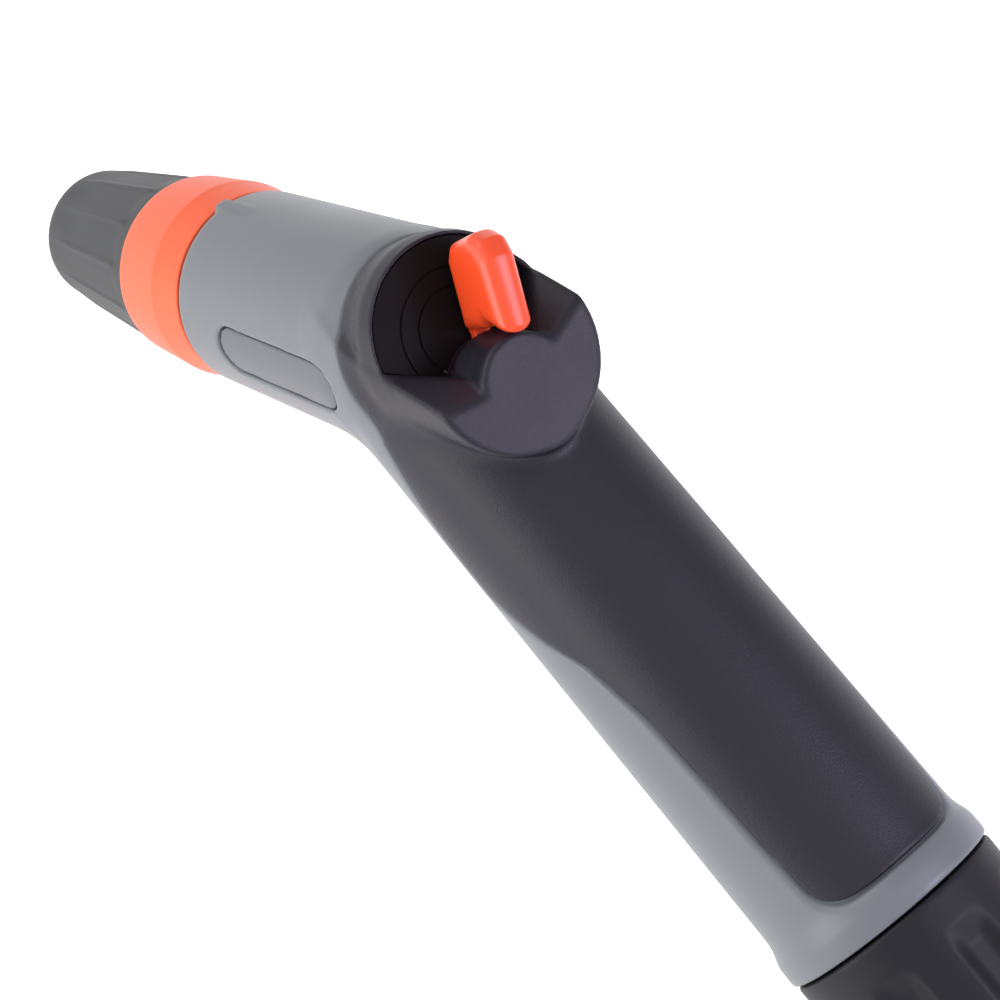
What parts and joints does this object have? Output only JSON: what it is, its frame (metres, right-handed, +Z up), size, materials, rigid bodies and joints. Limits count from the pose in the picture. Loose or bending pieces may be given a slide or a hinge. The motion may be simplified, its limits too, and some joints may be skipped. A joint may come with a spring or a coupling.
{
  "type": "watering wand",
  "caption": "Angled hose-end watering wand with a thumb-turned valve lever, a twist jet nozzle and a swivelling quick-connect hose inlet.",
  "frame": {"origin": "middle of the footprint, at the level the wand stands on", "axes": "+X from the nozzle towards the hose inlet, +Y across the wand, +Z up; the wand stands as an arch on its nozzle rim and hose nut, thumb side up"},
  "size_m": [0.2724, 0.0404, 0.1016],
  "materials": {
    "grey_shell": "satin moulded plastic",
    "soft_grip": "fine-grained soft-touch cover",
    "badge": "plain badge with no lettering",
    "valve_plastic": "natural acetal",
    "seal_rubber": "greased nitrile",
    "brass": "turned brass",
    "orange_lever": "satin orange plastic",
    "dark_hub": "dark moulded plastic",
    "steel": "stainless",
    "dark_sleeve": "matt ribbed plastic",
    "orange_ring": "satin orange plastic",
    "dark_nut": "dark fluted plastic",
    "grey_nipple": "satin moulded plastic"
  },
  "bodies": {
    "handle": {"main_housing": "grey_shell", "grip_cover": "soft_grip", "badge_plates": "badge", "well_plate": "dark_hub", "valve_body": "valve_plastic", "valve_cap": "valve_plastic", "tube_o_ring": "seal_rubber", "barrel_core": "valve_plastic", "core_o_ring": "seal_rubber", "sleeve_clip": "steel", "sleeve_o_ring": "seal_rubber", "inlet_tube": "valve_plastic", "tube_supports": "grey_shell", "inlet_plug": "valve_plastic", "swivel_o_ring": "seal_rubber", "swivel_clip": "steel"},
    "lever": {"thumb_lever": "orange_lever", "lever_screw": "steel", "valve_plug": "brass", "stem_o_ring": "seal_rubber"},
    "nozzle": {"nozzle_sleeve": "dark_sleeve", "nozzle_ring": "orange_ring", "nozzle_tip": "dark_sleeve", "tip_o_ring": "seal_rubber"},
    "needle": {"jet_needle": "brass", "needle_carrier": "valve_plastic"},
    "hose_end": {"swivel_nut": "dark_nut", "hose_nipple": "grey_nipple", "nipple_o_ring": "seal_rubber", "inlet_strainer": "steel"}
  },
  "joints": [
    {"name": "lever_turn", "type": "hinge", "parent": "handle", "child": "lever", "pos_m": [-0.01979, 0, 0.07655], "axis": [0.642, 0, 0.7667], "range_deg": [-15, 49]},
    {"name": "nozzle_turn", "type": "hinge", "parent": "handle", "child": "nozzle", "pos_m": [-0.0377, 0, 0.06999], "axis": [-0.8381, 0, -0.5455], "range_deg": [-135, 135]},
    {"name": "needle_slide", "type": "slide", "parent": "handle", "child": "needle", "axis": [-0.8381, 0, -0.5455], "range_m": [-0.003, 0.003]},
    {"name": "hose_swivel", "type": "hinge", "parent": "handle", "child": "hose_end", "pos_m": [-0.0377, 0, 0.06999], "axis": [0.9459, 0, -0.3245], "continuous": true}
  ],
  "couplings": [
    {"joint": "needle_slide", "follows": "nozzle_turn", "m_per_rad": 0.0012732}
  ]
}
